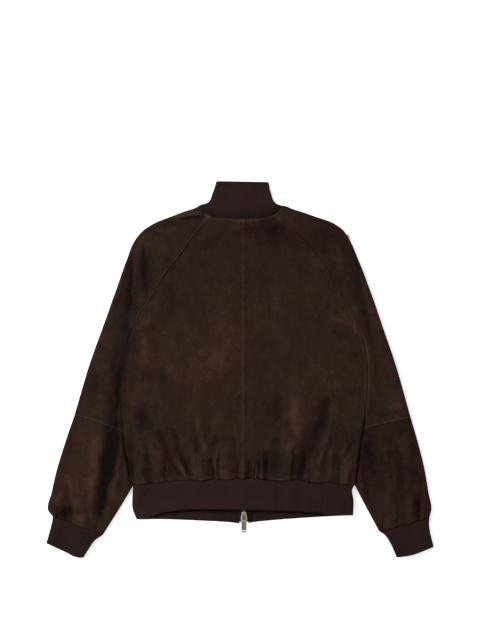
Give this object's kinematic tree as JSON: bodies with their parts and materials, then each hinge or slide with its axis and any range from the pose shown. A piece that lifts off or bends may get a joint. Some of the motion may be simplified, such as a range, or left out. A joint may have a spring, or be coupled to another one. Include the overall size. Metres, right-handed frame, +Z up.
{
  "type": "suede leather jacket",
  "caption": "Suede blouson jacket with raglan sleeves, rib-knit stand collar, cuffs and hem band and a front zip, laid flat with its back side up.",
  "frame": {"origin": "centre of the garment's footprint, on the surface it lies on", "axes": "+Z up out of the surface, +Y towards the collar, +X across the garment from the sleeve on the picture's left to the one on its right"},
  "size_m": [0.835, 0.8111, 0.014],
  "materials": {
    "suede": "napped, matt",
    "rib_knit": "fine rib knit, matt",
    "zip_tape": "woven, matt",
    "brass": "aged, satin"
  },
  "bodies": {
    "garment": {"back_left": "suede", "back_right": "suede", "front_left": "suede", "front_right": "suede", "sleeve_upper_left": "suede", "sleeve_upper_right": "suede", "sleeve_lower_left": "suede", "sleeve_lower_right": "suede", "cuff_left": "rib_knit", "cuff_right": "rib_knit", "collar": "rib_knit", "hem_band": "rib_knit", "zip_tape_left": "zip_tape", "zip_tape_right": "zip_tape", "zip_chain": "brass", "slider_bottom": "brass", "slider_top": "brass"},
    "bottom_pull": {"pull_bottom": "brass"},
    "top_pull": {"pull_top": "brass"}
  },
  "joints": [
    {"name": "bottom_pull_swing", "type": "hinge", "parent": "garment", "child": "bottom_pull", "pos_m": [0.009, -0.31918, 0.0018], "axis": [1, 0, 0], "range_deg": [0, 170]},
    {"name": "top_pull_swing", "type": "hinge", "parent": "garment", "child": "top_pull", "pos_m": [0.009, 0.33868, 0.0018], "axis": [1, 0, 0], "range_deg": [0, 170]}
  ]
}
